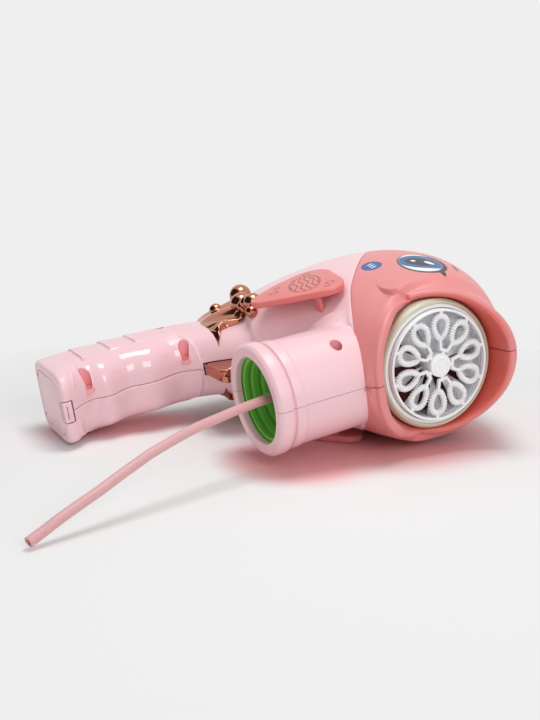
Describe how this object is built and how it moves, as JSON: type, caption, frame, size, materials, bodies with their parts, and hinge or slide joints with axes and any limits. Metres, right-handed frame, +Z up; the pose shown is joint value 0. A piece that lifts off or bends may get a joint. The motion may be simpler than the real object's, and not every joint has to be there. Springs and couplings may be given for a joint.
{
  "type": "bubble blower",
  "caption": "Pistol-shaped toy bubble blower in the form of a fish: looped wheel in the mouth, bottle socket with suction hose below, trigger and battery handle behind.",
  "frame": {"origin": "centre of the bounding box at its base, on the table, the free hose left out", "axes": "lying on its left side as pictured: -Y the way the mouth points, -X the way the handle and socket point, +Z up from the table"},
  "size_m": [0.2557, 0.1727, 0.0901],
  "materials": {
    "pink": "light pink, satin gloss",
    "coral": "coral, semi-matte",
    "rose_gold": "plated rose gold on plastic",
    "diffuser": "cream, translucent",
    "green": "green, satin",
    "hose": "soft, dusty pink, half clear",
    "board": "circuit board",
    "steel": "bright steel",
    "rubber": "black rubber",
    "black": "black plastic",
    "white": "white plastic"
  },
  "bodies": {
    "case": {"right_shell": "pink", "left_shell": "pink", "right_face": "coral", "left_face": "coral", "right_fin": "coral", "left_fin": "coral", "tail_splash": "rose_gold", "trigger_spring": "steel", "trigger_switch": "black", "battery_box": "black", "cell_1": "steel", "cell_2": "steel", "cell_3": "steel", "cell_4": "steel", "contact_springs": "steel", "circuit_board": "board", "light_ring": "diffuser", "led_board": "board", "air_guide": "white", "gear_motor": "steel", "gear_plate": "white", "pump_housing": "white", "pump_tube": "hose", "inlet_tube": "hose", "outlet_tube": "hose", "feed_nozzle": "white", "plenum": "white", "fan_scroll": "white", "fan_motor": "steel", "bottle_collar": "green", "collar_seal": "rubber", "suction_hose": "hose", "case_screws": "steel"},
    "wheel": {"wand_wheel": "white", "wheel_shaft": "steel", "wheel_gear": "white"},
    "idler": {"idler_gear": "white", "idler_shaft": "steel", "pump_rotor": "white", "pump_rollers": "steel"},
    "pinion": {"motor_pinion": "steel"},
    "fan": {"fan_rotor": "white"},
    "trigger": {"trigger": "rose_gold"},
    "door": {"battery_door": "pink", "contact_plate": "steel"}
  },
  "joints": [
    {"name": "wheel_spin", "type": "hinge", "parent": "case", "child": "wheel", "pos_m": [0.0497, -0.0648, 0.0433], "axis": [0, -1, 0], "continuous": true},
    {"name": "idler_spin", "type": "hinge", "parent": "case", "child": "idler", "pos_m": [0.03074, -0.0648, 0.04027], "axis": [0, -1, 0], "continuous": true},
    {"name": "pinion_spin", "type": "hinge", "parent": "case", "child": "pinion", "pos_m": [0.0339, -0.0648, 0.02052], "axis": [0, -1, 0], "continuous": true},
    {"name": "fan_spin", "type": "hinge", "parent": "case", "child": "fan", "pos_m": [0.0655, 0.0052, 0.04582], "axis": [0.1578, 0, -0.9875], "continuous": true},
    {"name": "trigger_slide", "type": "slide", "parent": "case", "child": "trigger", "axis": [0, 1, 0], "range_m": [0, 0.005], "stiffness_N_per_m": 400, "springref_m": -0.002, "deforming": ["trigger_spring"]},
    {"name": "door_hinge", "type": "hinge", "parent": "case", "child": "door", "pos_m": [-0.10296, 0.0605, 0.0189], "axis": [0.1578, 0, -0.9875], "range_deg": [0, 95]}
  ],
  "couplings": [
    {"joint": "idler_spin", "follows": "wheel_spin", "ratio": -2},
    {"joint": "pinion_spin", "follows": "wheel_spin", "ratio": 8}
  ]
}
